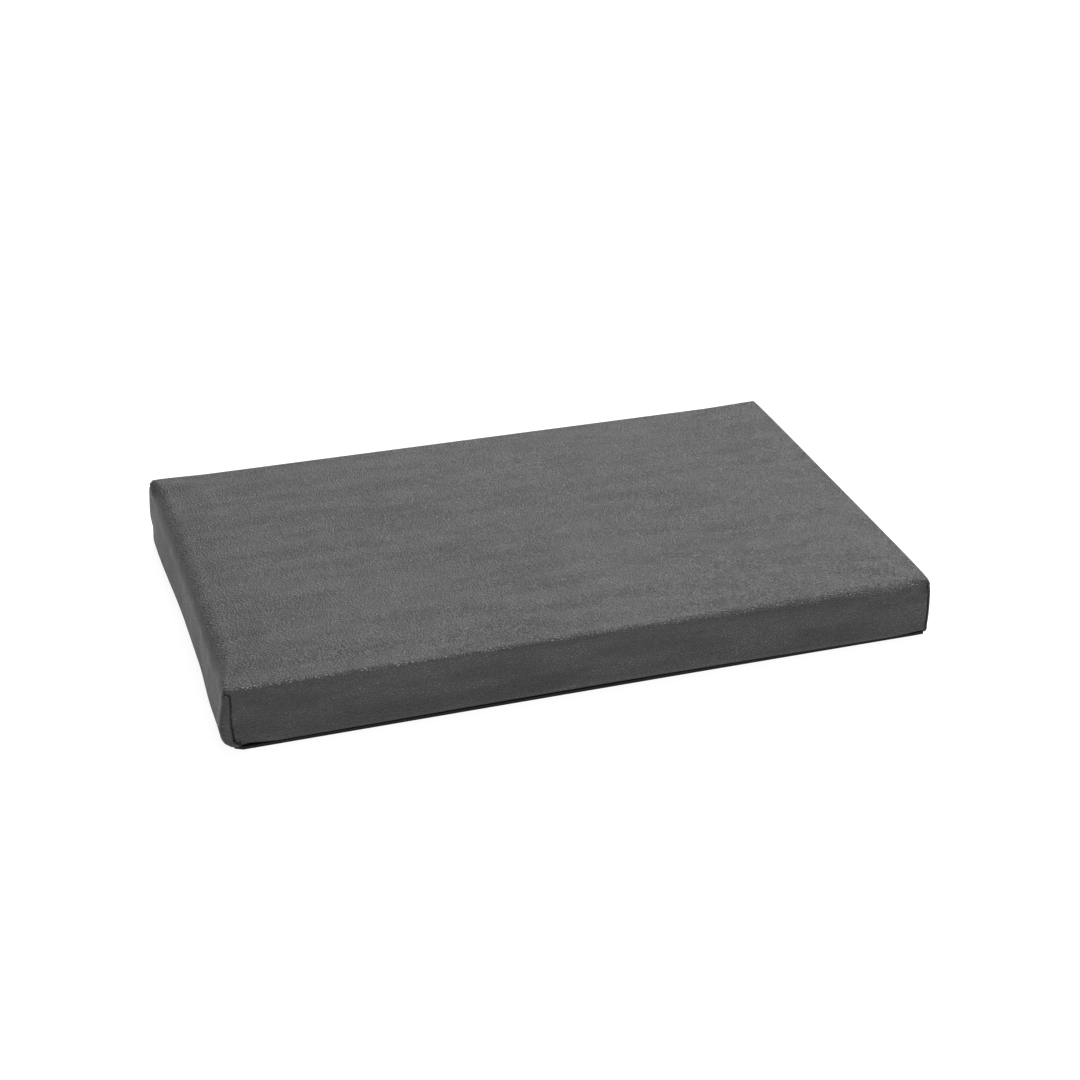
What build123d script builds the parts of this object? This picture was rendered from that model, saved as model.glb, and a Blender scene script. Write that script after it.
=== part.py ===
from build123d import *
import os

# Kneeling pad: a leatherette cover pulled over two foams on a thin board, closed by a non-slip base.
# X runs along the pad, Y across it and Z up. The origin is the middle of the underside. Millimetres.

# Whole pad
length = 450.0
width = 300.0
height = 40.0

# Roundings of the outside
corner_radius = 8.0
top_radius = 7.0
under_radius = 6.0

# Layers
grip_thick = 2.0
cover_thick = 1.0
wadding_thick = 1.5
board_thick = 6.0
firm_foam_thick = 17.0

# Distances in from the pad's outline
hem_reach = 32.0
board_inset = 6.5
board_corner = 4.0
grip_inset = 1.5
grip_corner = 6.0

# Staples: flat wire bent into a U
crown_width = 9.0
wire_width = 0.75
wire_thick = 0.6
wire_bend = 0.4
cover_staple_leg = 6.0
base_staple_leg = 8.0
cover_row_inset = 20.0
cover_row_pitch = 30.0
cover_row_end = 40.0
corner_diagonal = 17.0
corner_spread = 7.0
grip_row_inset = 11.0
grip_row_pitch = 45.0
grip_row_end = 30.0
grip_crown_depth = 0.4

# Levels, from the floor up
hem_bottom = grip_thick
board_bottom = hem_bottom + cover_thick
board_top = board_bottom + board_thick
foam_joint = board_top + firm_foam_thick
fill_inset = cover_thick + wadding_thick


def slab(inset, corner, bottom, top):
    """A flat plate inside the pad's outline, with round upright corners."""
    outline = RectangleRounded(length - 2 * inset, width - 2 * inset, corner)
    return Pos(0, 0, bottom) * extrude(outline, top - bottom)


def pad_body(inset):
    """The pad's rounded outside above its base, moved in by inset on every face."""
    body = slab(inset, corner_radius - inset, hem_bottom + inset, height - inset)
    body = fillet(body.edges().group_by(Axis.Z)[-1], top_radius - inset)
    return fillet(body.edges().group_by(Axis.Z)[0], under_radius - inset)


def staple(leg_length):
    """One staple: crown along X with its lower face at z = 0, legs pointing up."""
    crown = Box(crown_width, wire_width, wire_thick, align=(Align.CENTER, Align.CENTER, Align.MIN))
    leg = Box(wire_thick, wire_width, leg_length, align=(Align.CENTER, Align.CENTER, Align.MIN))
    leg_x = (crown_width - wire_thick) / 2
    body = crown + Pos(-leg_x, 0, 0) * leg + Pos(leg_x, 0, 0) * leg
    bends = body.edges().filter_by(Axis.Y).group_by(Axis.Z)[0]
    return fillet(bends, wire_bend)


def row(half_run, pitch):
    """Evenly spaced places from -half_run to half_run, about pitch apart."""
    gaps = round(2 * half_run / pitch)
    return [half_run * (2 * i / gaps - 1) for i in range(gaps + 1)]


def staple_ring(one, inset, end, pitch):
    """Copies of a staple along all four edges, each crown parallel to the edge beside it."""
    along_x = [
        Pos(x, side * (width / 2 - inset), 0) * one
        for side in (-1, 1)
        for x in row(length / 2 - end, pitch)
    ]
    along_y = [
        Pos(side * (length / 2 - inset), y, 0) * Rot(0, 0, 90) * one
        for side in (-1, 1)
        for y in row(width / 2 - end, pitch)
    ]
    return along_x + along_y


def corner_pairs(one):
    """Two copies of a staple across each folded corner, with their crowns square to the diagonal."""
    pairs = []
    for side_x in (-1, 1):
        for side_y in (-1, 1):
            angle = -45 * side_x * side_y
            for reach in (corner_diagonal, corner_diagonal + corner_spread):
                x = side_x * (length / 2 - reach)
                y = side_y * (width / 2 - reach)
                pairs.append(Pos(x, y, 0) * Rot(0, 0, angle) * one)
    return pairs


def make_parts():
    """Every piece of the pad, by name."""
    cover_staple = Pos(0, 0, hem_bottom) * staple(cover_staple_leg)
    cover_staples = staple_ring(cover_staple, cover_row_inset, cover_row_end, cover_row_pitch)
    cover_staples += corner_pairs(cover_staple)

    # Each base staple's crown is pressed into the base, so that none of them reaches the floor.
    base_staple = Pos(0, 0, grip_crown_depth) * staple(base_staple_leg)
    base_staples = staple_ring(base_staple, grip_row_inset, grip_row_end, grip_row_pitch)
    pocket = Box(crown_width, wire_width, 2 * (grip_crown_depth + wire_bend))
    pockets = staple_ring(pocket, grip_row_inset, grip_row_end, grip_row_pitch)
    staples = cover_staples + base_staples

    outside = pad_body(0)
    under_cover = pad_body(cover_thick)
    filling = pad_body(fill_inset)
    board = slab(board_inset, board_corner, board_bottom, board_top)
    hem_window = slab(hem_reach, board_corner, hem_bottom, board_bottom)
    below_joint = slab(0, corner_radius, 0, foam_joint)

    return {
        "cover": outside - under_cover - hem_window - staples,
        "wadding": under_cover - filling - slab(board_inset, board_corner, hem_bottom, board_top),
        "soft_foam_topper": filling - below_joint,
        "firm_foam_core": (filling & below_joint) - board,
        "base_board": board - staples,
        "non_slip_base": slab(grip_inset, grip_corner, 0, grip_thick) - base_staples - pockets,
        "cover_staples": Compound(cover_staples),
        "base_staples": Compound(base_staples),
    }


os.makedirs("parts", exist_ok=True)
for name, shape in make_parts().items():
    export_step(shape, f"parts/{name}.step")
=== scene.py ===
import math

import bpy
import numpy as np
from mathutils import Matrix, Vector
from mathutils.kdtree import KDTree


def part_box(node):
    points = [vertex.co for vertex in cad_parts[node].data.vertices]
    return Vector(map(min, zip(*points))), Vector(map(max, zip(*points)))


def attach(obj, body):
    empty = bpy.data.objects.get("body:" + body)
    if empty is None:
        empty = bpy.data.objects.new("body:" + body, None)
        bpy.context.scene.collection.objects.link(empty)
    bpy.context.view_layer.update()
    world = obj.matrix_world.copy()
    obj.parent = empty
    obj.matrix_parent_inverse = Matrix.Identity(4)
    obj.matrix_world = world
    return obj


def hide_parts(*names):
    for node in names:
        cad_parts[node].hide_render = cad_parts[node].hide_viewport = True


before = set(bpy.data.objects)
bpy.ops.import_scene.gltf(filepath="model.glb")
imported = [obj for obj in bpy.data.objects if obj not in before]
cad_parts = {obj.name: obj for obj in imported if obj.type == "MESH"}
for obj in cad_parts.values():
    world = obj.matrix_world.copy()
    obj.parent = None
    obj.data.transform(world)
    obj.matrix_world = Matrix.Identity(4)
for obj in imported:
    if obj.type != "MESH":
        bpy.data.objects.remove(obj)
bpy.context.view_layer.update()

MM = 0.001

# ---------------------------------------------------------------------------------------------
# Sizes, from the CAD frame. Everything is in metres, with the pad's middle at x = y = 0.
# ---------------------------------------------------------------------------------------------
cover_low, cover_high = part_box("cover")
board_low, board_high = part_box("base_board")
grip_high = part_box("non_slip_base")[1]
topper_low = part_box("soft_foam_topper")[0]

HALF_X = cover_high.x
HALF_Y = cover_high.y
SKIN_BOTTOM = cover_low.z + 0.1 * MM
SKIN_TOP = cover_high.z
SKIN_HEIGHT = SKIN_TOP - SKIN_BOTTOM
FOAM_JOINT = topper_low.z

# Thicknesses of the layers, and how far inside the cover's skin each one starts
LEATHER = 0.85 * MM
WADDING = 1.3 * MM
CLEAR = 0.1 * MM
WADDING_INSET = LEATHER + CLEAR
FOAM_INSET = WADDING_INSET + WADDING + CLEAR
LIP_BOTTOM = 5.0 * MM

# How finely a skin is divided: distances in from each edge as far as the hem reaches, then even steps
EDGE_STEPS = np.concatenate([np.arange(0, 8.9, 0.5), [9.4, 10.6, 12.3, 14.8, 18, 21.2, 24.6, 28.2, 32]]) * MM
MIDDLE_STEP = 4.4 * MM
SIDE_ROWS = 29

# The rolls' radii. Along the top edges: in front from the left end to the right one, behind in the middle
# and at the ends, and at the left in the middle and at its front and back ends. Along the foot: across,
# upward, how much more the left side has near the front corner, and how much less there is where the
# cover is drawn tight, at the right and at the left end in front.
FRONT_ROLL = (3.0 * MM, 8.0 * MM)
BACK_ROLL = (4.5 * MM, 1.8 * MM)
LEFT_ROLL = 11.5 * MM
LEFT_ROLL_ENDS = (2.2 * MM, 5.0 * MM)
RIGHT_ROLL = 1.2 * MM
FOOT_ROLL = 3.0 * MM
FOOT_ROLL_UP = 5.0 * MM
FOOT_FREED = 2.0 * MM
FOOT_FREED_WITHIN = 70 * MM
FOOT_DRAWN = 1.6 * MM
FOOT_DRAWN_UP = 2.4 * MM
CORNER_RADIUS = 2.2 * MM
LEAST_RADIUS = 0.6 * MM

# The soft form: the crown's height, how far the top rises to the left and to the front, and how far
# the sides swell out: in front and behind, at the right in the middle and at the top, and at the front's
# foot towards the left. warp() has the left side's own swell, in millimetres.
CROWN = 0.6 * MM
RISE_TO_LEFT = 0.8 * MM
RISE_TO_FRONT = 0.4 * MM
FRONT_SWELL = 0.6 * MM
RIGHT_SWELL = 0.5 * MM
RIGHT_TOP_SWELL = 0.7 * MM
FOOT_SPREAD = 1.9 * MM

# The corner pleats. For each corner, anticlockwise from the front left: how far past the corner the fold
# reaches at its top and its foot, how far it stands proud, and the radius of its fold, in millimetres.
PLEATS = ((1.6, 5.6, 1.1, 0.95), (0.2, 0.4, 0.25, 0.5), (1.4, 3.6, 0.8, 0.9), (1.4, 3.6, 0.8, 0.9))
PLEAT_TOP = 2.0 * MM
PLEAT_RAMP = 3.5 * MM
PLEAT_GAP = 0.25 * MM
PLEAT_TUCK = 9.0 * MM
PLEAT_FADE = 24.0 * MM
PLEAT_HEM_STEPS = 13
PLEAT_END = SKIN_HEIGHT + EDGE_STEPS[PLEAT_HEM_STEPS]


def smooth(t):
    """0 below t = 0, 1 above t = 1, and an even S between."""
    t = np.clip(t, 0, 1)
    return t * t * (3 - 2 * t)


def mix(a, b, t):
    return a + (b - a) * t


# ---------------------------------------------------------------------------------------------
# The pad's shape: a sharp box is rounded, then warped as the pulled cover and the foam are
# ---------------------------------------------------------------------------------------------
def roll_radius(x, y):
    """The radius of the top edge's roll beside a point seen from above: crisp in front at the left."""
    along_x = (x + HALF_X) / (2 * HALF_X)
    along_y = (y + HALF_Y) / (2 * HALF_Y)
    near_end_x = 1 - smooth(np.minimum(along_x, 1 - along_x) / 0.10)
    near_end_y = 1 - smooth(np.minimum(along_y / 0.14, (1 - along_y) / 0.07))
    edges = (
        (y + HALF_Y, mix(*FRONT_ROLL, smooth((along_x - 0.45) / 0.5))),
        (HALF_Y - y, mix(*BACK_ROLL, near_end_x)),
        (x + HALF_X, mix(LEFT_ROLL, mix(*LEFT_ROLL_ENDS, along_y), near_end_y)),
        (HALF_X - x, RIGHT_ROLL),
    )
    weights = [1 / (np.abs(gap) + 3 * MM) ** 2 for gap, _ in edges]
    return sum(w * radius for w, (_, radius) in zip(weights, edges)) / sum(weights)


def rounded(points, inset=0.0):
    """The sharp box's points on its rounded form, and the outward directions there.
    inset is how far the form lies inside the cover's skin."""
    p = np.array(points, float)
    top = SKIN_TOP - inset
    bottom = SKIN_BOTTOM + inset
    z = p[:, 2]
    r_top = np.maximum(roll_radius(p[:, 0], p[:, 1]) - inset, LEAST_RADIUS)
    r_corner = max(CORNER_RADIUS - inset, LEAST_RADIUS)
    past_left, past_front = np.abs(p[:, 0] + HALF_X), p[:, 1] + HALF_Y
    in_front = 1 - smooth((past_front - past_left + 4 * MM) / (8 * MM))
    freed = FOOT_FREED * smooth(1 - np.hypot(past_left, past_front) / FOOT_FREED_WITHIN) * (1 - in_front)
    drawn = np.maximum(smooth(p[:, 0] / HALF_X), in_front * smooth(-p[:, 0] / HALF_X))
    r_under = np.maximum(FOOT_ROLL + freed - FOOT_DRAWN * drawn - inset, LEAST_RADIUS)
    r_under_up = np.maximum(FOOT_ROLL_UP + freed - FOOT_DRAWN_UP * drawn - inset, LEAST_RADIUS)
    near_top = smooth((z - (top - 2 * r_top)) / r_top)
    near_bottom = smooth((bottom + 2 * r_under_up - z) / r_under_up)
    across = mix(mix(r_corner, r_under, near_bottom), r_top, near_top)
    upward = np.where(z > (top + bottom) / 2, r_top, r_under_up)
    radii = np.stack([across, across, upward], axis=1)
    core = p.copy()
    for axis, half in ((0, HALF_X - inset), (1, HALF_Y - inset)):
        core[:, axis] = np.clip(p[:, axis], across - half, half - across)
    core[:, 2] = np.clip(z, bottom + r_under_up, top - r_top)
    d = (p - core) / radii
    length = np.maximum(np.linalg.norm(d, axis=1), 1e-9)[:, None]
    reach = np.abs(d).max(axis=1)[:, None]
    direction = d / length
    normal = direction / radii
    normal /= np.maximum(np.linalg.norm(normal, axis=1), 1e-9)[:, None]
    return core + radii * direction * reach, normal


def warp(points):
    """The soft form: a slight crown, and sides that swell, the left one low down and most behind."""
    p = np.array(points, float)
    u = p[:, 0] / HALF_X
    v = p[:, 1] / HALF_Y
    t = (p[:, 2] - SKIN_BOTTOM) / SKIN_HEIGHT
    low_swell = smooth(t / 0.14) * (1 - 0.85 * smooth((t - 0.3) / 0.6))
    mid_swell = np.clip(1 - (2 * t - 1) ** 2, 0, 1)
    left = 1.8 + 2.4 * smooth(v / 0.7) - 3.2 * smooth((v - 0.78) / 0.22) + 1.8 * smooth((-v - 0.35) / 0.4)
    right = RIGHT_SWELL * mid_swell + RIGHT_TOP_SWELL * np.clip(t, 0, 1) * (1 - v**6)
    p[:, 0] += np.sign(u) * np.abs(u) ** 5 * np.where(u < 0, left * MM * low_swell, right)
    spread = FOOT_SPREAD * np.clip(0.5 - 0.5 * u, 0, 1) ** 1.5 * (1 - smooth((t - 0.05) / 0.6)) * (v < 0)
    p[:, 1] += np.sign(v) * np.abs(v) ** 5 * (FRONT_SWELL * mid_swell + spread)
    crown = CROWN * (1 - u**2) * (1 - v**2)
    p[:, 2] += (crown - RISE_TO_LEFT * u - RISE_TO_FRONT * v) * np.clip(t, 0, 1)
    return p


def skin(points, inset=0.0):
    """Where the sharp box's points lie on the pad, that far inside the cover's skin, and the normals."""
    place, normal = rounded(points, inset)
    return warp(place), normal


# ---------------------------------------------------------------------------------------------
# The lattice that divides a box. Its top is a grid. Rings of points follow from it, each one
# (steps in from the outline, height), down the sides and in underneath. A ring has four sides, each
# from one corner to the next, anticlockwise from above.
# ---------------------------------------------------------------------------------------------
CORNERS = ((-1, -1), (1, -1), (1, 1), (-1, 1))


def heights(top, bottom, count):
    """Row heights from top to bottom, closer together near both ends."""
    t = np.linspace(0, 1, count)
    t = t - 0.085 * np.sin(2 * math.pi * t)
    return mix(top, bottom, t)


class Lattice:
    def __init__(self, inset, edge, step, rings):
        self.inset = inset
        self.edge = edge
        self.x = self.places(HALF_X - inset, step)
        self.y = self.places(HALF_Y - inset, step)
        self.nx = len(self.x) - 1
        self.ny = len(self.y) - 1
        self.rings = rings

    def places(self, half, step):
        """Places from -half to half: the edge's own steps at both ends, even steps between."""
        inner = half - self.edge[-1]
        count = round(2 * inner / step)
        middle = np.linspace(-inner, inner, count + 1)
        return np.concatenate([self.edge[:-1] - half, middle, (half - self.edge[:-1])[::-1]])

    def columns(self, side, row):
        m = self.rings[row][0]
        return range(m, (self.nx if side % 2 == 0 else self.ny) - m + 1)

    def key(self, side, column, row):
        """The lattice point (i, j, row) of a side's column and row."""
        m = self.rings[row][0]
        i, j = (
            (column, m),
            (self.nx - m, column),
            (self.nx - column, self.ny - m),
            (m, self.ny - column),
        )[side]
        return i, j, row

    def point(self, key):
        i, j, row = key
        return self.x[i], self.y[j], self.rings[row][1]


def side_rings(top, bottom, count):
    return [(0, z) for z in heights(top, bottom, count)]


class Mesh:
    """Collects a mesh: points by name, so that neighbours share them, and faces."""

    def __init__(self):
        self.index = {}
        self.points = []
        self.faces = []

    def add(self, key, point):
        if key not in self.index:
            self.index[key] = len(self.points)
            self.points.append(point)
        return self.index[key]

    def face(self, *corners):
        kept = [c for n, c in enumerate(corners) if c != corners[n - 1]]
        if len(kept) > 2:
            self.faces.append(kept)


def add_grid(mesh, lattice, row, upward):
    """A flat grid that closes a ring, facing up or down."""
    m = lattice.rings[row][0]
    for i in range(m, lattice.nx - m):
        for j in range(m, lattice.ny - m):
            loop = [(i, j, row), (i + 1, j, row), (i + 1, j + 1, row), (i, j + 1, row)]
            corners = [mesh.add(key, lattice.point(key)) for key in loop]
            mesh.face(*(corners if upward else corners[::-1]))


def add_rings(mesh, lattice, split=None):
    """The faces from each ring to the next. split(row) tells in which rows the ends of the long sides
    have points of their own, for the pleats."""

    def vertex(side, column, row):
        name = key = lattice.key(side, column, row)
        columns = lattice.columns(side, row)
        if split is not None and split(row) and side % 2 == 0 and column in (columns[0], columns[-1]):
            name = ("under", side if column == columns[0] else side + 1, row)
        return mesh.add(name, lattice.point(key))

    for side in range(4):
        for row in range(len(lattice.rings) - 1):
            columns = lattice.columns(side, row)
            below = lattice.columns(side, row + 1)
            for c in columns[:-1]:
                left = min(max(c, below[0]), below[-1])
                right = min(max(c + 1, below[0]), below[-1])
                mesh.face(
                    vertex(side, c, row),
                    vertex(side, left, row + 1),
                    vertex(side, right, row + 1),
                    vertex(side, c + 1, row),
                )


# ---------------------------------------------------------------------------------------------
# The folded corners. The cover of each short side wraps round the corner where it ends, folds back
# under itself and comes out again as the long side's cover.
# ---------------------------------------------------------------------------------------------
class PleatSection:
    """A corner's pleat at a depth along the skin, down from the top face. It can open early."""

    def __init__(self, corner, depth, early=0.0):
        at_top, at_foot, proud, radius = PLEATS[corner]
        opening = smooth((depth + early - PLEAT_TOP) / PLEAT_RAMP)
        closing = smooth((PLEAT_END - depth) / (8 * MM))
        self.opened = opening * closing
        reach = mix(at_top, at_foot, np.clip(depth / SKIN_HEIGHT, 0, 1)) * MM
        self.fold = reach * smooth(2 * self.opened)
        self.radius = radius * MM * self.opened
        self.edge = self.fold + self.radius
        self.lift = proud * MM * self.opened * smooth((SKIN_HEIGHT - MM - depth) / (12 * MM))
        self.sink = 2 * self.radius + PLEAT_GAP * self.opened - self.lift
        self.pocket = np.clip(0.65 * (self.edge - 0.75 * MM), 0, 1.8 * MM) * self.opened

    def under(self, past):
        """How far in the long side's cover lies: deepest in the pocket behind the fold's edge."""
        in_pocket = 1 - smooth((past - self.edge + 0.1 * MM) / (1.3 * MM))
        return self.sink * (1 - smooth((past - self.fold) / PLEAT_FADE)) + self.pocket * in_pocket


def beside_corners(points, early=0.0):
    """For each corner: the distances from its two faces, the pleat's section at each point, and which
    points are near enough to matter."""
    for corner, (sign_x, sign_y) in enumerate(CORNERS):
        in_x = HALF_X - sign_x * points[:, 0]
        in_y = HALF_Y - sign_y * points[:, 1]
        below = points[:, 2] < SKIN_BOTTOM + 0.01 * MM
        depth = SKIN_TOP - points[:, 2] + np.where(below, np.minimum(in_x, in_y), 0)
        yield in_x, in_y, PleatSection(corner, depth, early), np.maximum(in_x, in_y) < 60 * MM


def pleat_levels(points, under):
    """How far the cover stands off its plain form beside the pleats: out on the short sides, over the
    hidden layers, and in on the long sides. under marks the points of the long sides' ends."""
    level = np.zeros(len(points))
    for in_x, in_y, pleat, near in beside_corners(points):
        past = in_x - in_y
        on_wrap = (past <= 1e-9) & ~under
        lift = pleat.lift * (1 - smooth((-past - PLEAT_TUCK) / (14 * MM)))
        level += np.where(near, np.where(on_wrap, lift, -pleat.under(past)), 0)
    return level


def pleat_hollows(points):
    """How far the layers inside give way to the pleats, as moves in x and in y."""
    moves = np.zeros((len(points), 3))
    sections = beside_corners(points, early=5 * MM)
    for (sign_x, sign_y), (in_x, in_y, pleat, near) in zip(CORNERS, sections):
        depth = pleat.sink + pleat.pocket + 0.3 * MM * pleat.opened
        from_short_side = depth * (1 - smooth((in_y - PLEAT_TUCK - 2 * MM) / (14 * MM)))
        from_long_side = pleat.sink * (1 - smooth((in_x - pleat.fold - 2 * MM) / PLEAT_FADE))
        from_long_side += (depth - pleat.sink) * (1 - smooth((in_x - pleat.edge - 3 * MM) / (8 * MM)))
        moves[:, 0] -= sign_x * np.where(near, from_short_side * np.clip(1 - in_x / (24 * MM), 0, 1), 0)
        moves[:, 1] -= sign_y * np.where(near, from_long_side * np.clip(1 - in_y / (24 * MM), 0, 1), 0)
    return moves


def pleat_path(pleat):
    """One row of a pleat, as (distance past the corner, level) pairs."""
    r = pleat.radius
    tuck = -PLEAT_TUCK * pleat.opened
    fold, top, bottom = pleat.fold, pleat.lift, -pleat.sink - pleat.pocket
    half_gap = (top - 2 * r - bottom) / 2
    wrap = [(fold * t, top) for t in np.linspace(0, 1, 7)]
    roll = [(fold + r * math.sin(a), top - r + r * math.cos(a)) for a in np.linspace(0, math.pi, 9)]
    back = [(mix(fold, tuck, t), top - 2 * r) for t in np.linspace(0, 1, 9)]
    turn = [
        (tuck - half_gap * math.sin(a), bottom + half_gap + half_gap * math.cos(a))
        for a in np.linspace(0, math.pi, 5)
    ]
    ahead = [(mix(tuck, 0, t), bottom) for t in np.linspace(0, 1, 7)]
    return wrap + roll[1:] + back[1:] + turn[1:] + ahead[1:]


def add_pleats(mesh, lattice, first, last, levels):
    """Adds the strip between each short side's end and the long side beside it."""
    for corner, (sign_x, sign_y) in enumerate(CORNERS):
        corner_at = np.array([sign_x * HALF_X, sign_y * HALF_Y])
        ahead, behind = np.array([-sign_x, 0.0]), np.array([0.0, -sign_y])
        rows = []
        for row in range(first, last + 1):
            m, z = lattice.rings[row]
            inset = lattice.edge[m]
            shared = lattice.key(corner, m, row)
            ring = [mesh.add(shared, lattice.point(shared))]
            section = PleatSection(corner, SKIN_TOP - z + inset)
            for n, (past, level) in enumerate(pleat_path(section)[1:-1]):
                if row in (first, last):
                    ring.append(ring[0])
                    continue
                spot = corner_at + inset * (ahead + behind)
                spot = spot + (ahead * past if past >= 0 else behind * -past)
                key = ("pleat", corner, row, n)
                ring.append(mesh.add(key, (spot[0], spot[1], z)))
                levels[key] = level
            ring.append(mesh.index.get(("under", corner, row), ring[0]))
            rows.append(ring)
        for upper, lower in zip(rows[:-1], rows[1:]):
            for n in range(len(upper) - 1):
                loop = (upper[n], lower[n], lower[n + 1], upper[n + 1])
                mesh.face(*(loop if corner % 2 == 0 else loop[::-1]))


# ---------------------------------------------------------------------------------------------
# Objects
# ---------------------------------------------------------------------------------------------
def make_object(name, points, faces, smooth_faces=True):
    data = bpy.data.meshes.new(name)
    data.from_pydata([tuple(p) for p in points], [], faces)
    data.polygons.foreach_set("use_smooth", [smooth_faces] * len(data.polygons))
    data.update()
    made = bpy.data.objects.new(name, data)
    bpy.context.scene.collection.objects.link(made)
    return made


def coordinates(data):
    points = np.zeros(3 * len(data.vertices))
    data.vertices.foreach_get("co", points)
    return points.reshape(-1, 3)


def normals_of(points, faces):
    """The smooth normals of a mesh's points."""
    trial = make_object("trial", points, faces)
    normals = np.zeros(3 * len(points))
    trial.data.vertex_normals.foreach_get("vector", normals)
    bpy.data.objects.remove(trial)
    return normals.reshape(-1, 3)


def thicken(points, faces, thickness):
    """Closes an open sheet into one with a thickness, inwards from its points."""
    loose = set()
    for face in faces:
        for a, b in zip(face, face[1:] + face[:1]):
            if (b, a) in loose:
                loose.discard((b, a))
            else:
                loose.add((a, b))
    count = len(points)
    inner = points - normals_of(points, faces) * thickness
    walls = [(b, a, a + count, b + count) for a, b in sorted(loose)]
    backs = [[corner + count for corner in reversed(face)] for face in faces]
    return np.concatenate([points, inner]), faces + backs + walls


# ---------------------------------------------------------------------------------------------
# The foam's push against the pulled cover, by cloth simulation on a coarser skin
# ---------------------------------------------------------------------------------------------
TRIAL_EDGE = np.array([0, 4, 8, 12, 17, 23, 32]) * MM
TRIAL_STEP = 6.0 * MM
TRIAL_ROWS = 10
TRIAL_FRAMES = 20
MOST_MOVED = 1.6 * MM


def press_cover():
    """Lets the foam press the cover out, and returns the coarse skin's box points and how far each
    one moved. The hem is held by its staples."""
    rings = side_rings(SKIN_TOP, SKIN_BOTTOM, TRIAL_ROWS)
    rings += [(m, SKIN_BOTTOM) for m in range(1, len(TRIAL_EDGE))]
    lattice = Lattice(0, TRIAL_EDGE, TRIAL_STEP, rings)
    mesh = Mesh()
    add_grid(mesh, lattice, 0, True)
    add_rings(mesh, lattice)
    box_points = np.array(mesh.points)
    places, _ = skin(box_points)
    cloth = make_object("trial_cloth", places, mesh.faces)
    held = cloth.vertex_groups.new(name="held")
    at_hem = np.nonzero(box_points[:, 2] < SKIN_BOTTOM + 0.01 * MM)[0]
    held.add([int(n) for n in at_hem], 1.0, "REPLACE")
    settings = cloth.modifiers.new("cloth", "CLOTH").settings
    settings.quality = 6
    settings.mass = 0.35
    settings.tension_stiffness = 12
    settings.compression_stiffness = 12
    settings.shear_stiffness = 6
    settings.bending_stiffness = 4
    settings.use_pressure = True
    settings.uniform_pressure_force = 4
    settings.vertex_group_mass = "held"
    settings.effector_weights.gravity = 0
    for number in range(1, TRIAL_FRAMES + 1):
        bpy.context.scene.frame_set(number)
    pushed = cloth.evaluated_get(bpy.context.evaluated_depsgraph_get()).to_mesh()
    moved = coordinates(pushed) - places
    bpy.data.objects.remove(cloth)
    bpy.context.scene.frame_set(1)
    length = np.linalg.norm(moved, axis=1)[:, None]
    return box_points, moved * np.minimum(1, MOST_MOVED / np.maximum(length, 1e-9))


PRESSED = press_cover()


def off_edge(points):
    """How far points on the box's faces are from its nearest edge."""
    to_faces = [HALF_X - np.abs(points[:, 0]), HALF_Y - np.abs(points[:, 1]), SKIN_TOP - points[:, 2]]
    return np.minimum(np.sort(to_faces, axis=0)[1], points[:, 2] - SKIN_BOTTOM)


def pressed(box_points):
    """How far the foam's push moves points, blended from the coarse skin. The edges keep their rolls."""
    moved = np.zeros((len(box_points), 3))
    if PRESSED is None:
        return moved
    known, values = PRESSED
    tree = KDTree(len(known))
    for n, place in enumerate(known):
        tree.insert(place, n)
    tree.balance()
    for n, place in enumerate(box_points):
        near = tree.find_n(place, 5)
        weights = np.array([1 / (far + 1 * MM) ** 2 for _, _, far in near])
        moved[n] = weights @ values[[at for _, at, _ in near]] / weights.sum()
    return moved * smooth(off_edge(box_points) / (16 * MM))[:, None]


# ---------------------------------------------------------------------------------------------
# The soft pieces
# ---------------------------------------------------------------------------------------------
def make_cover():
    rings = side_rings(SKIN_TOP, SKIN_BOTTOM, SIDE_ROWS)
    rings += [(m, SKIN_BOTTOM) for m in range(1, len(EDGE_STEPS))]
    lattice = Lattice(0, EDGE_STEPS, MIDDLE_STEP, rings)
    first = sum(SKIN_TOP - z <= PLEAT_TOP for _, z in rings) - 1
    last = SIDE_ROWS - 1 + PLEAT_HEM_STEPS

    def split(row):
        return first < row < last

    mesh = Mesh()
    add_grid(mesh, lattice, 0, True)
    add_rings(mesh, lattice, split)
    levels = {}
    add_pleats(mesh, lattice, first, last, levels)
    box_points = np.array(mesh.points)
    under = np.zeros(len(box_points), bool)
    for key, n in mesh.index.items():
        under[n] = key[0] == "under"
    stand_off = pleat_levels(box_points, under)
    for key, level in levels.items():
        stand_off[mesh.index[key]] = level
    places, normals = skin(box_points)
    places += normals * stand_off[:, None] + pressed(box_points)
    return make_object("kneeling_cover", *thicken(places, mesh.faces, LEATHER))


def filling(lattice, mesh):
    """A filling's points, which give way to the cover's pleats."""
    box_points = np.array(mesh.points)
    return skin(box_points, lattice.inset)[0] + pleat_hollows(box_points) + pressed(box_points)


FILLING_EDGE = np.array([0, 1.2, 2.6, 4.2, 6.6, 9.5, 13, 18, 24, 32]) * MM
FILLING_STEP = 5.0 * MM


def make_wadding():
    top = SKIN_TOP - WADDING_INSET
    lattice = Lattice(WADDING_INSET, FILLING_EDGE, FILLING_STEP, side_rings(top, LIP_BOTTOM, 20))
    mesh = Mesh()
    add_grid(mesh, lattice, 0, True)
    add_rings(mesh, lattice)
    places = filling(lattice, mesh)
    return make_object("wadding_wrap", *thicken(places, mesh.faces, WADDING))


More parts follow.
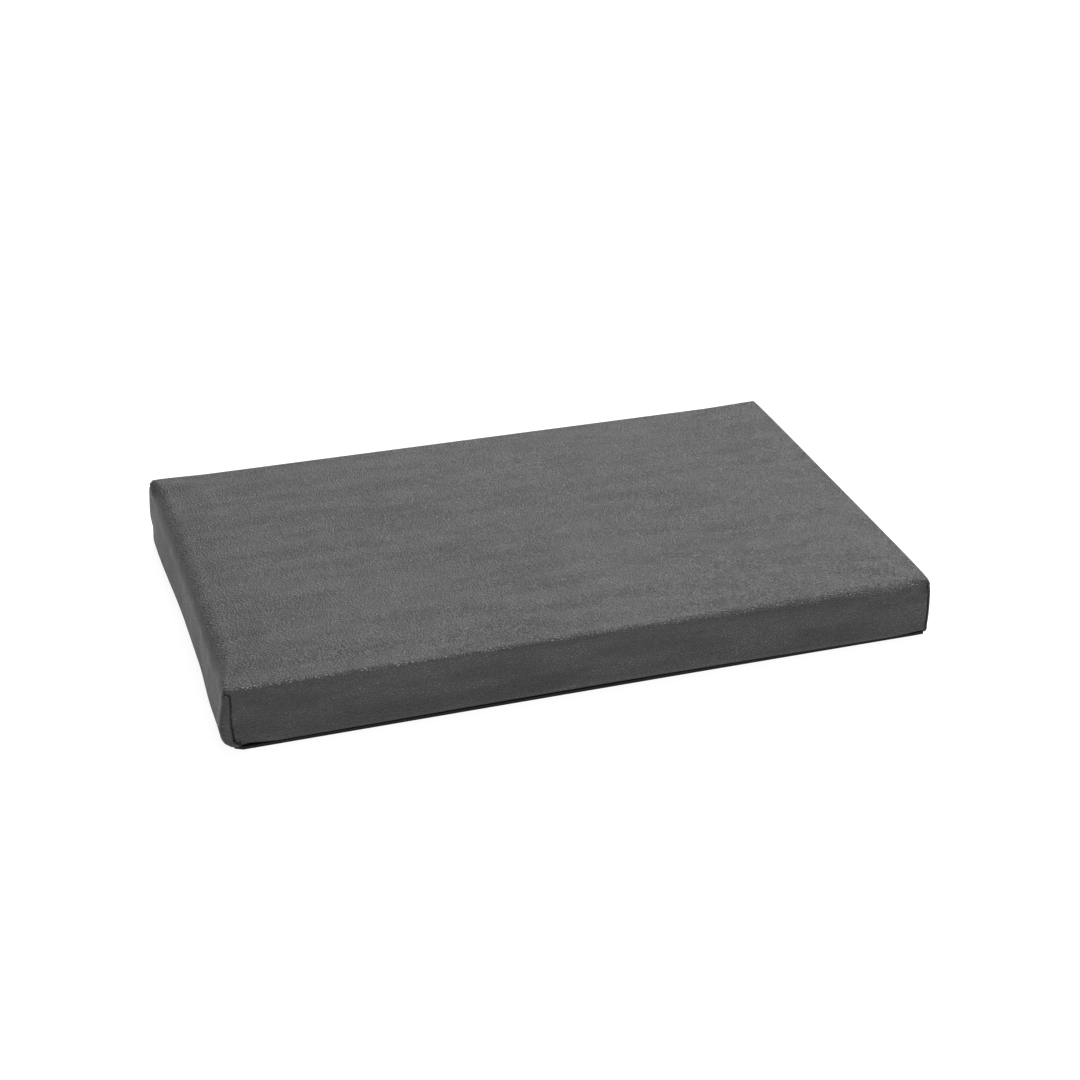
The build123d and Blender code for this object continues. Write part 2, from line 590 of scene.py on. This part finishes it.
def make_topper():
    top = SKIN_TOP - FOAM_INSET
    rings = side_rings(top, FOAM_JOINT + CLEAR / 2, 9)
    lattice = Lattice(FOAM_INSET, FILLING_EDGE, FILLING_STEP, rings)
    mesh = Mesh()
    add_grid(mesh, lattice, 0, True)
    add_rings(mesh, lattice)
    add_grid(mesh, lattice, len(rings) - 1, False)
    return make_object("topper_foam", filling(lattice, mesh), mesh.faces)


def make_core():
    """The firm foam: flat on top, and with a lip that laps over the board's edge."""
    board_in = HALF_X - FOAM_INSET - board_high.x - 0.15 * MM
    edge = np.concatenate([np.linspace(0, board_in, 4), FILLING_EDGE[FILLING_EDGE > board_in + 1 * MM]])
    rings = side_rings(FOAM_JOINT - CLEAR / 2, LIP_BOTTOM, 14)
    rings += [(m, LIP_BOTTOM) for m in (1, 2, 3)]
    rings += [(3, z) for z in np.linspace(LIP_BOTTOM, board_high.z + CLEAR, 4)[1:]]
    lattice = Lattice(FOAM_INSET, edge, FILLING_STEP, rings)
    mesh = Mesh()
    add_grid(mesh, lattice, 0, True)
    add_rings(mesh, lattice)
    add_grid(mesh, lattice, len(rings) - 1, False)
    places = filling(lattice, mesh)
    box_points = np.array(mesh.points)
    for key, n in mesh.index.items():
        if rings[key[2]][0] == 3:
            places[n] = box_points[n]
    return make_object("core_foam", places, mesh.faces)


# ---------------------------------------------------------------------------------------------
# The non-slip sheet: small moulded feet on its underside, and none where the staples' crowns lie
# ---------------------------------------------------------------------------------------------
GRIP_FACE = 0.6 * MM
GRIP_PITCH = 7.0 * MM
FOOT_WIDE = 1.7 * MM
FOOT_NARROW = 1.3 * MM
GRIP_RIM = 0.1 * MM

# How far the sheet's front edge comes out at its left end, and how far in its corners are cut: by
# whether a corner is (at the right, behind), and the others
GRIP_SKEW = 2.9 * MM
GRIP_CORNERS = {(False, False): 8.5 * MM, (True, False): 0.8 * MM}
GRIP_CORNER = 2.5 * MM


def staple_crowns():
    """The crowns' boxes in plan, read from the base staples' CAD solids."""
    crowns = []
    for place in coordinates(bpy.data.objects["base_staples"].data):
        if place[2] > GRIP_FACE + 0.5 * MM:
            continue
        for low, high in crowns:
            if np.linalg.norm((low + high) / 2 - place[:2]) < 12 * MM:
                np.minimum(low, place[:2], out=low)
                np.maximum(high, place[:2], out=high)
                break
        else:
            crowns.append((place[:2].copy(), place[:2].copy()))
    return crowns


def make_grip():
    half_x, half_y = grip_high.x, grip_high.y
    crowns = staple_crowns()
    xs = np.linspace(-half_x, half_x, round(2 * half_x / GRIP_PITCH) + 1)
    ys = np.linspace(-half_y, half_y, round(2 * half_y / GRIP_PITCH) + 1)
    nx, ny = len(xs) - 1, len(ys) - 1
    top = grip_high.z - 0.02 * MM
    mesh = Mesh()

    def corner(i, j, z):
        x, y = xs[i], ys[j]
        if j == 0:
            y -= GRIP_SKEW * (1 - i / nx) ** 1.5
        if i in (0, nx) and j in (0, ny):
            pull = GRIP_CORNERS.get((i == nx, j == ny), GRIP_CORNER) * (1 - math.sqrt(0.5))
            x -= math.copysign(pull, x)
            y -= math.copysign(pull, y)
        at_rim = z == GRIP_FACE and (i in (0, nx) or j in (0, ny))
        return mesh.add((i, j, z), (x, y, GRIP_RIM if at_rim else z))

    def foot(i, j):
        """A foot's octagons: its root on the sheet and its tread on the floor."""
        x, y = (xs[i] + xs[i + 1]) / 2, (ys[j] + ys[j + 1]) / 2
        root, tread = [], []
        for n in range(8):
            angle = math.radians(-112.5 + 45 * n)
            for ring, radius, z in ((root, FOOT_WIDE, GRIP_FACE), (tread, FOOT_NARROW, 0.0)):
                spot = (x + radius * math.cos(angle), y + radius * math.sin(angle), z)
                ring.append(mesh.add(("foot", i, j, n, z), spot))
        return root, tread

    def has_foot(i, j):
        if i in (0, nx - 1) and j in (0, ny - 1):
            return False
        reach = GRIP_PITCH / 2
        x, y = (xs[i] + xs[i + 1]) / 2, (ys[j] + ys[j + 1]) / 2
        return not any(
            low[0] - reach < x < high[0] + reach and low[1] - reach < y < high[1] + reach
            for low, high in crowns
        )

    for i in range(nx):
        for j in range(ny):
            ring = [(i, j), (i + 1, j), (i + 1, j + 1), (i, j + 1)]
            mesh.face(*[corner(a, b, top) for a, b in ring])
            below = [corner(a, b, GRIP_FACE) for a, b in ring]
            if not has_foot(i, j):
                mesh.face(*below[::-1])
                continue
            root, tread = foot(i, j)
            for k in range(4):
                a, b = 2 * k, (2 * k + 1) % 8
                mesh.face(below[(k + 1) % 4], below[k], root[a], root[b])
                mesh.face(below[(k + 1) % 4], root[b], root[(b + 1) % 8])
            for k in range(8):
                mesh.face(root[(k + 1) % 8], root[k], tread[k], tread[(k + 1) % 8])
            mesh.face(*tread[::-1])
    border = [(i, 0) for i in range(nx)] + [(nx, j) for j in range(ny)]
    border += [(i, ny) for i in range(nx, 0, -1)] + [(0, j) for j in range(ny, 0, -1)]
    for a, b in zip(border, border[1:] + border[:1]):
        mesh.face(
            corner(*a, top),
            corner(*a, GRIP_FACE),
            corner(*b, GRIP_FACE),
            corner(*b, top),
        )
    return make_object("grip_base", mesh.points, mesh.faces, smooth_faces=False)


cover = make_cover()
wadding = make_wadding()
topper = make_topper()
core = make_core()
grip = make_grip()

for piece, node, material_slot in (
    (cover, "cover", "leatherette"),
    (wadding, "wadding", "wadding"),
    (topper, "soft_foam_topper", "soft_foam"),
    (core, "firm_foam_core", "firm_foam"),
    (grip, "non_slip_base", "grip_sheet"),
):
    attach(piece, "root")
    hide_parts(node)


# ---------------------------------------------------------------------------------------------
# Materials
# ---------------------------------------------------------------------------------------------
class Shader:
    """A procedural material in object coordinates, in metres."""

    def __init__(self, name):
        self.material = bpy.data.materials.new(name)
        self.material.use_nodes = True
        self.nodes = self.material.node_tree.nodes
        self.links = self.material.node_tree.links
        self.surface = self.nodes["Principled BSDF"]
        ways = self.nodes.new("ShaderNodeTexCoord")
        self.place = ways.outputs["Object"]
        self.facing = ways.outputs["Normal"]

    def feed(self, socket, value):
        if isinstance(value, bpy.types.NodeSocket):
            self.links.new(value, socket)
        else:
            socket.default_value = value

    def calculate(self, operation, a, b=0.0):
        node = self.nodes.new("ShaderNodeMath")
        node.operation = operation
        self.feed(node.inputs[0], a)
        self.feed(node.inputs[1], b)
        return node.outputs[0]

    def parts(self, vector):
        """A vector's x, y and z."""
        node = self.nodes.new("ShaderNodeSeparateXYZ")
        self.feed(node.inputs[0], vector)
        return node.outputs

    def stretch(self, vector, factors):
        node = self.nodes.new("ShaderNodeVectorMath")
        node.operation = "MULTIPLY"
        self.feed(node.inputs[0], vector)
        node.inputs[1].default_value = factors
        return node.outputs[0]

    def shift(self, vector, other, amount):
        """Moves a vector by another one's distance from mid-grey, times an amount."""
        centred = self.nodes.new("ShaderNodeVectorMath")
        centred.operation = "SUBTRACT"
        self.feed(centred.inputs[0], other)
        centred.inputs[1].default_value = (0.5, 0.5, 0.5)
        node = self.nodes.new("ShaderNodeVectorMath")
        node.operation = "MULTIPLY_ADD"
        self.feed(node.inputs[0], centred.outputs[0])
        node.inputs[1].default_value = (amount, amount, amount)
        self.feed(node.inputs[2], vector)
        return node.outputs[0]

    def noise(self, vector, scale, detail=2.0, roughness=0.5, output="Factor"):
        node = self.nodes.new("ShaderNodeTexNoise")
        self.feed(node.inputs["Vector"], vector)
        node.inputs["Scale"].default_value = scale
        node.inputs["Detail"].default_value = detail
        node.inputs["Roughness"].default_value = roughness
        return node.outputs[0 if output == "Factor" else "Color"]

    def cells(self, vector, scale, feature="F1", output="Distance"):
        node = self.nodes.new("ShaderNodeTexVoronoi")
        node.feature = feature
        self.feed(node.inputs["Vector"], vector)
        node.inputs["Scale"].default_value = scale
        return node.outputs[output]

    def remap(self, value, low, high, to_low=0.0, to_high=1.0):
        node = self.nodes.new("ShaderNodeMapRange")
        node.interpolation_type = "SMOOTHSTEP"
        self.feed(node.inputs["Value"], value)
        node.inputs["From Min"].default_value = low
        node.inputs["From Max"].default_value = high
        node.inputs["To Min"].default_value = to_low
        node.inputs["To Max"].default_value = to_high
        return node.outputs["Result"]

    def blend(self, factor, a, b):
        node = self.nodes.new("ShaderNodeMix")
        node.data_type = "RGBA"
        self.feed(node.inputs["Factor"], factor)
        colour_a, colour_b = node.inputs[6:8]
        self.feed(colour_a, a)
        self.feed(colour_b, b)
        return node.outputs[2]

    def bump(self, height, distance, strength=1.0, over=None):
        node = self.nodes.new("ShaderNodeBump")
        node.inputs["Strength"].default_value = strength
        node.inputs["Distance"].default_value = distance
        self.feed(node.inputs["Height"], height)
        if over is not None:
            self.feed(node.inputs["Normal"], over)
        return node.outputs["Normal"]

    def finish(self, colour, roughness, normal, **others):
        self.feed(self.surface.inputs["Base Color"], colour)
        self.feed(self.surface.inputs["Roughness"], roughness)
        self.feed(self.surface.inputs["Normal"], normal)
        for name, value in others.items():
            self.feed(self.surface.inputs[name.replace("_", " ")], value)
        return self.material


def leatherette():
    """Soft grained imitation leather: small domed pebbles, longer along the pad, in wandering creases."""
    s = Shader("leatherette")
    deep = (0.030, 0.0299, 0.031, 1)
    dark = (0.053, 0.0527, 0.0550, 1)
    pale = (0.086, 0.0856, 0.0890, 1)
    # the pale colour of the painted glints along the front crest
    painted_glint = (0.21, 0.21, 0.215, 1)
    wander = s.noise(s.place, 28, 1.0, output="Color")
    bent = s.shift(s.place, wander, 0.007)
    pebbles = s.cells(s.stretch(bent, (470, 760, 760)), 1.0, "DISTANCE_TO_EDGE")
    crease = s.remap(pebbles, -0.02, 0.22)
    dome = s.remap(pebbles, 0.0, 0.5)
    fine = s.remap(s.cells(s.stretch(bent, (1100, 1700, 1700)), 1.0, "DISTANCE_TO_EDGE"), 0.0, 0.3)
    pores = s.noise(s.place, 3200, 2.0)
    patches = s.noise(s.stretch(bent, (300, 420, 420)), 1.0, 2.0, 0.6)
    mottle = s.noise(s.stretch(s.place, (14, 75, 75)), 1.0, 4.0, 0.6)
    cloud = s.noise(s.place, 14, 3.0, 0.6)
    tone = s.calculate("ADD", s.remap(mottle, 0.3, 0.7, -1.2, 1.2), s.remap(cloud, 0.3, 0.7, -0.4, 0.4))
    tone = s.calculate("ADD", tone, s.remap(patches, 0.25, 0.75, -0.3, 0.3))
    plain = s.blend(s.remap(tone, -1.3, 1.3), dark, pale)
    colour = s.blend(crease, deep, plain)

    # Shade on the slope from the top into the front roll, more to the right
    x = s.parts(s.place)[0]
    facing = s.parts(s.facing)
    forward = s.calculate("MULTIPLY", facing[1], -1.0)
    slope = s.calculate("MULTIPLY", s.remap(forward, 0.05, 0.16), s.remap(forward, 0.5, 0.95, 1.0, 0.0))
    shade = s.calculate("MULTIPLY", slope, s.remap(x, -HALF_X, HALF_X, 0.3, 0.6))
    colour = s.blend(shade, colour, deep)

    # Painted highlight on the crest of the front roll: its pebbles are lightened towards a pale colour as
    # painted glints, most at the left where it is crisp, and are made a little less rough there as well
    crest = s.remap(s.calculate("ADD", facing[2], forward), 1.24, 1.39)
    crest = s.calculate("MULTIPLY", crest, s.remap(x, -HALF_X, 0.5 * HALF_X, 1.0, 0.0))
    painted_glint_and_gloss = s.calculate("MULTIPLY", crest, s.remap(pebbles, 0.1, 0.4))
    # painted highlight: the crest's pebbles blend towards the pale glint colour
    colour = s.blend(s.calculate("MULTIPLY", painted_glint_and_gloss, 0.75), colour, painted_glint)
    matt = s.remap(mottle, 0.3, 0.7, 0.42, 0.52)
    roughness = s.calculate("SUBTRACT", matt, s.calculate("MULTIPLY", painted_glint_and_gloss, 0.1))

    grain = s.bump(dome, 0.6 * MM, 1.0)
    grain = s.bump(fine, 0.07 * MM, 0.8, grain)
    grain = s.bump(pores, 0.03 * MM, 0.35, grain)
    return s.finish(colour, roughness, grain, Specular_IOR_Level=0.22)


def wadding_felt():
    """White polyester wadding: lofty tangled fibres."""
    s = Shader("wadding")
    bent = s.shift(s.place, s.noise(s.place, 90, 2.0, output="Color"), 0.012)
    strands_x = s.noise(s.stretch(bent, (160, 1400, 1400)), 1.0, 3.0, 0.6)
    strands_y = s.noise(s.stretch(bent, (1400, 180, 1400)), 1.0, 3.0, 0.6)
    fibres = s.calculate("MAXIMUM", strands_x, strands_y)
    lumps = s.noise(s.place, 70, 3.0, 0.6)
    colour = s.blend(s.remap(fibres, 0.4, 0.75), (0.62, 0.62, 0.60, 1), (0.84, 0.84, 0.82, 1))
    relief = s.bump(lumps, 0.8 * MM, 0.5)
    relief = s.bump(fibres, 0.3 * MM, 0.7, relief)
    return s.finish(colour, 0.92, relief, Sheen_Weight=0.2)


def open_cell_foam():
    """Pale yellow polyether foam, with open cells of about a millimetre."""
    s = Shader("soft_foam")
    size = s.noise(s.place, 160, 2.0, output="Color")
    bent = s.shift(s.place, size, 0.0015)
    pits = s.cells(bent, 1050, "F1")
    walls = s.remap(pits, 0.15, 0.6)
    patches = s.noise(s.place, 22, 3.0, 0.6)
    base = s.blend(s.remap(patches, 0.35, 0.65), (0.66, 0.56, 0.33, 1), (0.74, 0.66, 0.42, 1))
    colour = s.blend(walls, (0.42, 0.33, 0.16, 1), base)
    return s.finish(colour, 0.85, s.bump(walls, 0.35 * MM, 0.8), Subsurface_Weight=0.05)


def crumb_foam():
    """Rebonded foam: chips of several foams pressed together, with their joints showing."""
    s = Shader("firm_foam")
    bent = s.shift(s.place, s.noise(s.place, 120, 3.0, 0.6, output="Color"), 0.006)
    chip = s.cells(bent, 130, "F1", "Color")
    hue = s.nodes.new("ShaderNodeSeparateColor")
    s.feed(hue.inputs[0], chip)
    colours = s.nodes.new("ShaderNodeValToRGB")
    colours.color_ramp.interpolation = "CONSTANT"
    stops = ((0.0, (0.45, 0.44, 0.42, 1)), (0.3, (0.08, 0.17, 0.30, 1)), (0.45, (0.62, 0.56, 0.40, 1)),
             (0.62, (0.13, 0.14, 0.15, 1)), (0.78, (0.30, 0.42, 0.33, 1)), (0.88, (0.58, 0.30, 0.32, 1)))
    ramp = colours.color_ramp.elements
    while len(ramp) < len(stops):
        ramp.new(0.5)
    for element, (at, colour) in zip(ramp, stops):
        element.position = at
        element.color = colour
    s.feed(colours.inputs[0], hue.outputs[0])
    joints = s.remap(s.cells(bent, 130, "DISTANCE_TO_EDGE"), 0.0, 0.09)
    pits = s.remap(s.cells(s.place, 1300, "F1"), 0.15, 0.6)
    pitted = s.blend(s.remap(pits, 0, 1, 0.55, 1.0), (0.05, 0.05, 0.05, 1), colours.outputs[0])
    colour = s.blend(joints, (0.10, 0.09, 0.07, 1), pitted)
    relief = s.bump(joints, 0.5 * MM, 0.7)
    relief = s.bump(pits, 0.25 * MM, 0.6, relief)
    return s.finish(colour, 0.88, relief)


PLY = 1.2 * MM


def plywood():
    """Birch plywood: long grain in the faces, and plies of turned grain along the edges."""
    s = Shader("plywood")
    z = s.parts(s.place)[2]
    ply = s.calculate("DIVIDE", s.calculate("SUBTRACT", z, board_low.z), PLY)
    turned = s.calculate("GREATER_THAN", s.calculate("MODULO", ply, 2.0), 1.0)
    bent = s.shift(s.place, s.noise(s.stretch(s.place, (4, 25, 25)), 1.0, 2.0, output="Color"), 0.02)
    along = s.noise(s.stretch(bent, (7, 240, 240)), 1.0, 5.0, 0.65)
    across = s.noise(s.stretch(bent, (300, 9, 300)), 1.0, 5.0, 0.65)
    pores = s.noise(s.stretch(s.place, (90, 2600, 2600)), 1.0, 2.0)
    grain = s.remap(along, 0.3, 0.7)
    face = s.blend(grain, (0.50, 0.34, 0.19, 1), (0.72, 0.55, 0.35, 1))
    inner = s.blend(s.remap(across, 0.3, 0.7), (0.28, 0.17, 0.09, 1), (0.44, 0.29, 0.16, 1))
    wood = s.blend(turned, face, inner)
    flecked = s.blend(s.remap(pores, 0.62, 0.75), wood, (0.25, 0.15, 0.08, 1))
    relief = s.bump(along, 0.12 * MM, 0.6)
    relief = s.bump(pores, 0.05 * MM, 0.5, relief)
    return s.finish(flecked, s.remap(along, 0.3, 0.7, 0.5, 0.65), relief)


def grip_rubber():
    """Black rubber with a fine woven print, a little dusty on its treads."""
    s = Shader("grip_sheet")
    threads = s.nodes.new("ShaderNodeTexWave")
    s.feed(threads.inputs["Vector"], s.place)
    threads.inputs["Scale"].default_value = 420
    crossed = s.nodes.new("ShaderNodeTexWave")
    crossed.bands_direction = "Y"
    s.feed(crossed.inputs["Vector"], s.place)
    crossed.inputs["Scale"].default_value = 420
    weave = s.calculate("MULTIPLY", threads.outputs["Fac"], crossed.outputs["Fac"])
    specks = s.noise(s.place, 900, 3.0, 0.7)
    scuffs = s.noise(s.place, 35, 4.0, 0.65)
    colour = s.blend(s.remap(scuffs, 0.4, 0.7), (0.004, 0.004, 0.0045, 1), (0.010, 0.010, 0.0105, 1))
    colour = s.blend(s.remap(specks, 0.62, 0.8), colour, (0.022, 0.022, 0.021, 1))
    on_tread = s.remap(s.parts(s.place)[2], 0.02 * MM, 0.08 * MM, 1.0, 0.0)
    dust = s.calculate("MULTIPLY", on_tread, s.remap(scuffs, 0.2, 0.6))
    colour = s.blend(dust, colour, (0.075, 0.073, 0.068, 1))
    relief = s.bump(weave, 0.06 * MM, 0.6)
    relief = s.bump(specks, 0.03 * MM, 0.5, relief)
    return s.finish(colour, s.remap(scuffs, 0.3, 0.7, 0.62, 0.8), relief, Specular_IOR_Level=0.2)


def staple_steel():
    """Galvanised flat wire: drawing lines and a dull zinc bloom."""
    s = Shader("staple_wire")
    lines = s.noise(s.stretch(s.place, (500, 9000, 9000)), 1.0, 2.0)
    bloom = s.noise(s.place, 700, 3.0, 0.6)
    colour = s.blend(s.remap(bloom, 0.35, 0.65), (0.42, 0.43, 0.44, 1), (0.60, 0.61, 0.62, 1))
    relief = s.bump(lines, 0.03 * MM, 0.5)
    return s.finish(colour, s.remap(bloom, 0.3, 0.7, 0.3, 0.46), relief, Metallic=1.0)


def dress(piece, material):
    piece.data.materials.clear()
    piece.data.materials.append(material)


def dress_node(name, material):
    for place in bpy.data.objects[name].material_slots:
        place.material = material


dress(cover, leatherette())
dress(wadding, wadding_felt())
dress(topper, open_cell_foam())
dress(core, crumb_foam())
dress(grip, grip_rubber())
dress_node("base_board", plywood())
STEEL = staple_steel()
dress_node("cover_staples", STEEL)
dress_node("base_staples", STEEL)

# ---------------------------------------------------------------------------------------------
# Camera, light and floor
# ---------------------------------------------------------------------------------------------
CAMERA_PLACE = (-0.3717, -1.2794, 0.7143)
CAMERA_YAW = math.radians(16.716)
CAMERA_PITCH = math.radians(27.172)
CAMERA_ROLL = math.radians(-0.591)
CAMERA_LENS = 75.15


def make_camera():
    data = bpy.data.cameras.new("camera")
    data.lens = CAMERA_LENS
    data.sensor_width = 36.0
    camera = bpy.data.objects.new("camera", data)
    bpy.context.scene.collection.objects.link(camera)
    ahead = Vector((
        math.sin(CAMERA_YAW) * math.cos(CAMERA_PITCH),
        math.cos(CAMERA_YAW) * math.cos(CAMERA_PITCH),
        -math.sin(CAMERA_PITCH),
    ))
    right = Vector((math.cos(CAMERA_YAW), -math.sin(CAMERA_YAW), 0))
    up = right.cross(ahead)
    roll = Matrix.Rotation(CAMERA_ROLL, 3, -ahead)
    right, up = roll @ right, roll @ up
    axes = Matrix((right, up, -ahead)).transposed().to_4x4()
    camera.matrix_world = Matrix.Translation(CAMERA_PLACE) @ axes
    bpy.context.scene.camera = camera


def make_sun(name, towards, strength, softness):
    """A very wide soft light, far away in a direction, so that the floor is evenly lit."""
    data = bpy.data.lights.new(name, "SUN")
    data.energy = strength
    data.angle = math.radians(softness)
    light = bpy.data.objects.new(name, data)
    light.rotation_euler = Vector(towards).to_track_quat("Z", "Y").to_euler()
    bpy.context.scene.collection.objects.link(light)


make_camera()
make_sun("key", (0.5, 0.3, 0.81), 4.35, 24)
make_sun("sheen", (0.28, 0.74, 0.62), 1.6, 36)
make_sun("front", (0.11, -0.44, 0.85), 0.45, 12)
make_sun("low_front", (0.1, -0.9, 0.35), 1.38, 40)
make_sun("left", (-1.0, -0.1, 0.0), 0.2, 60)

world = bpy.data.worlds.new("world")
bpy.context.scene.world = world
world.use_nodes = True
world.node_tree.nodes["Background"].inputs["Color"].default_value = (1, 1, 1, 1)
world.node_tree.nodes["Background"].inputs["Strength"].default_value = 0.12

FLOOR_HALF = 6.0
FLOOR_Z = -0.1 * MM
FLOOR_GLOW = 0.92
floor_corners = [(x * FLOOR_HALF, y * FLOOR_HALF, FLOOR_Z) for x, y in CORNERS]
floor = make_object("floor", floor_corners, [(0, 1, 2, 3)])
paint = Shader("floor")
paper = paint.bump(paint.noise(paint.place, 400), 0.1 * MM, 0.1)
pale_grey, white = (0.15, 0.15, 0.15, 1), (1.0, 1.0, 1.0, 1)
dress(floor, paint.finish(pale_grey, 0.7, paper, Emission_Color=white, Emission_Strength=FLOOR_GLOW))
bpy.context.scene.view_settings.view_transform = "Standard"
